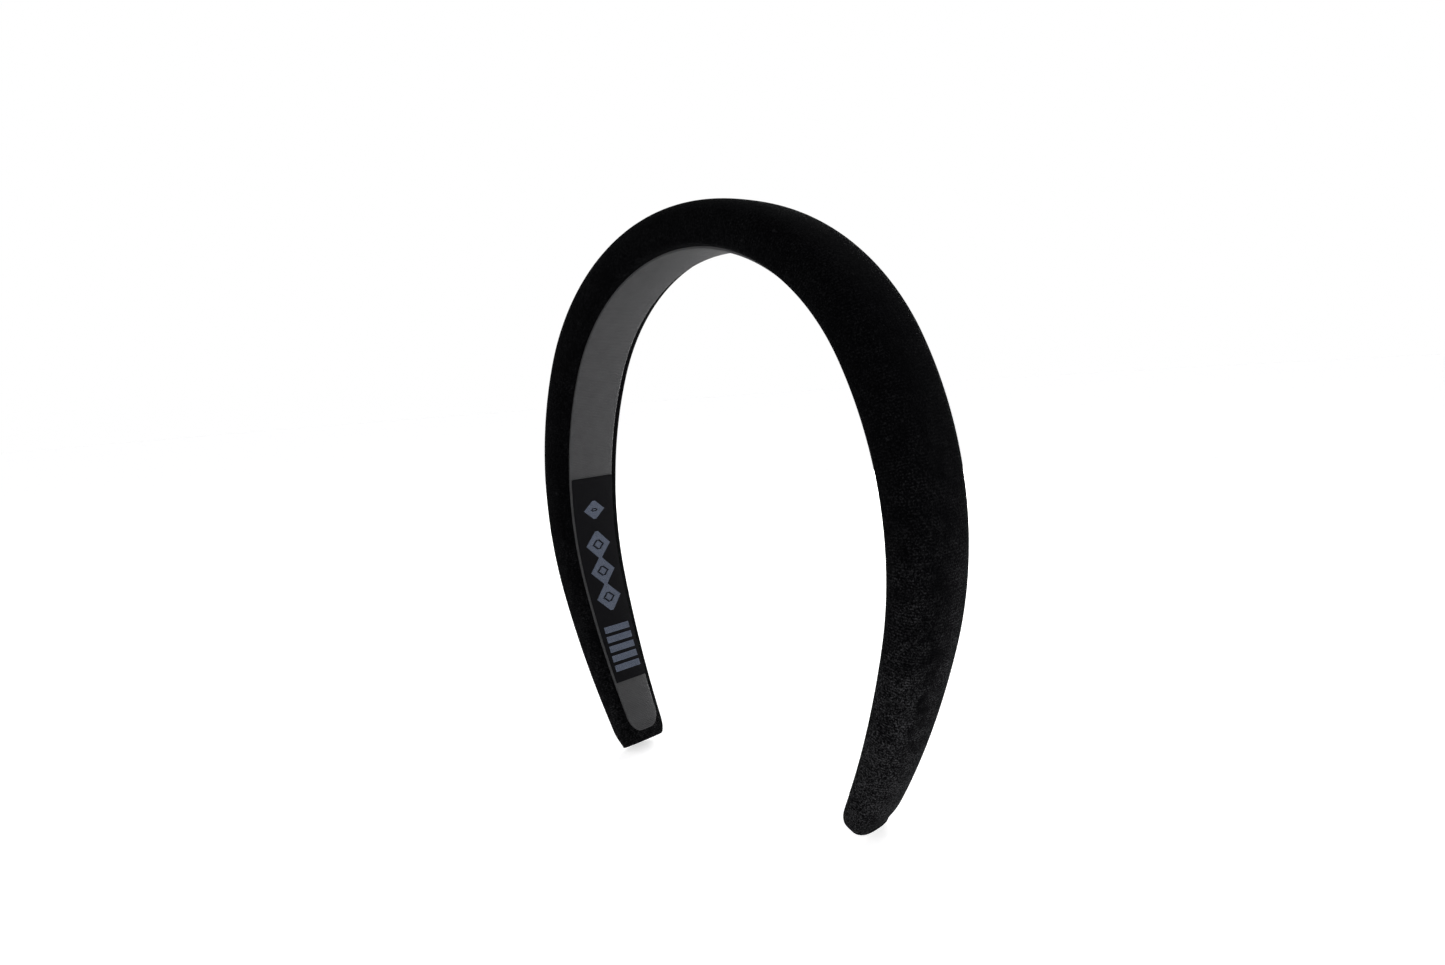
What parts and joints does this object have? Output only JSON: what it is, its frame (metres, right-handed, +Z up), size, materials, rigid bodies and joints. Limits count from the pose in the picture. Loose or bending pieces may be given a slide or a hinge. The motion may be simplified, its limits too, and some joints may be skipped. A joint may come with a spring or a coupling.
{
  "type": "padded velvet headband",
  "caption": "Springy arched headband: a plastic band under a domed foam pad, wrapped in velvet, with a ribbed ribbon lining and a woven label inside.",
  "frame": {"origin": "centre of the round crown's inner face, where the middle of the wearer's head comes", "axes": "+Z up through the crown, +X towards the right half as seen from the front, -Y the front; the head's round passes along Y"},
  "size_m": [0.1508, 0.0264, 0.1679],
  "materials": {
    "band_plastic": "moulded springy plastic, satin black",
    "tape": "thin double-sided tape",
    "foam": "open-cell sponge, off-white",
    "velvet": "short crushed pile, black",
    "lining": "fine crosswise ribs, charcoal",
    "label": "damask-woven black with a plain blue-grey pattern"
  },
  "bodies": {
    "left_half": {"core_left": "band_plastic", "foam_tape_left": "tape", "foam_pad_left": "foam", "velvet_cover_left": "velvet", "edge_tape_left": "tape", "lining_tape_left": "tape", "lining_left": "lining", "woven_label": "label"},
    "right_half": {"core_right": "band_plastic", "foam_tape_right": "tape", "foam_pad_right": "foam", "velvet_cover_right": "velvet", "edge_tape_right": "tape", "lining_tape_right": "tape", "lining_right": "lining"}
  },
  "joints": [
    {"name": "spring_open", "type": "hinge", "parent": "left_half", "child": "right_half", "pos_m": [0, 0, 0.0716], "axis": [0, -1, 0], "range_deg": [0, 25], "stiffness_Nm_per_rad": 0.6}
  ]
}
